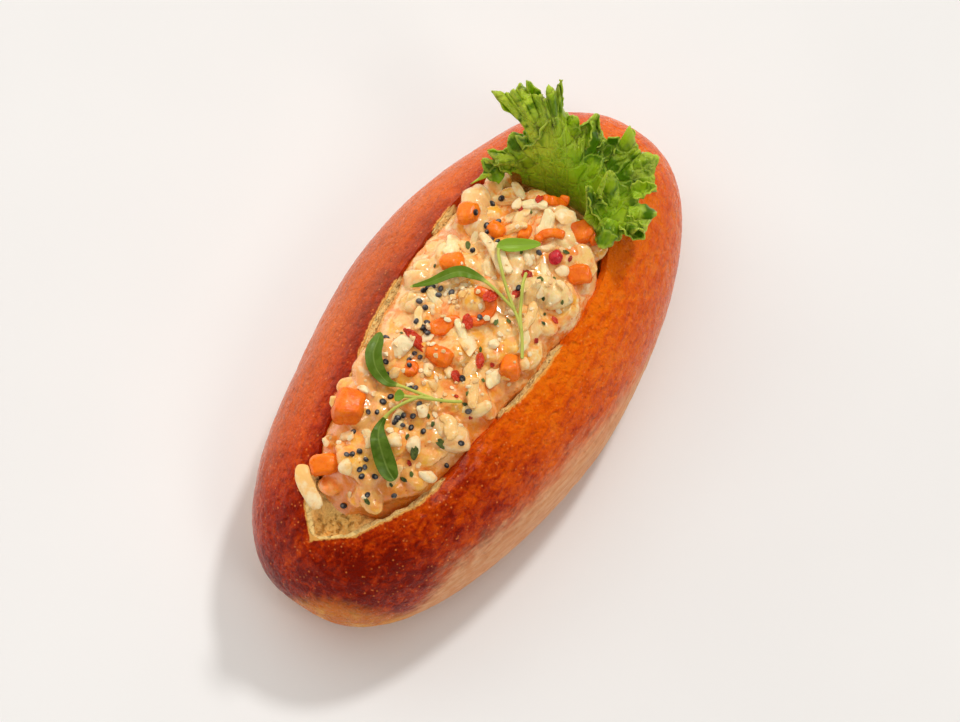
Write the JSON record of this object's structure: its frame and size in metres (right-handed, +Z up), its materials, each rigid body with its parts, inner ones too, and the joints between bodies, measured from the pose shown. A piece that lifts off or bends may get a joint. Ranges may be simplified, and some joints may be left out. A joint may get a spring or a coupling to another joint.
{
  "type": "shrimp roll",
  "caption": "Glazed oval bun slit along its top and heaped with creamy shrimp salad, carrot, nuts and poppy seeds, with a frilled lettuce leaf at one end and two cress sprigs.",
  "frame": {"origin": "centre of the bounding box, at the height of the bun's flat base", "axes": "+X along the bun towards the lettuce leaf, +Y to the bun's left, +Z up"},
  "size_m": [0.125, 0.065, 0.0604],
  "materials": {
    "crust": "egg-glazed brown crust, pale crumb where it is cut",
    "salad": "moist, creamy, with small coloured pieces",
    "lettuce": "fresh green leaf with a slight sheen",
    "cress": "fresh green leaves on pale stems"
  },
  "bodies": {
    "root": {"bun": "crust", "shrimp_salad": "salad", "lettuce_leaf": "lettuce", "cress_front": "cress", "cress_back": "cress"}
  },
  "joints": []
}
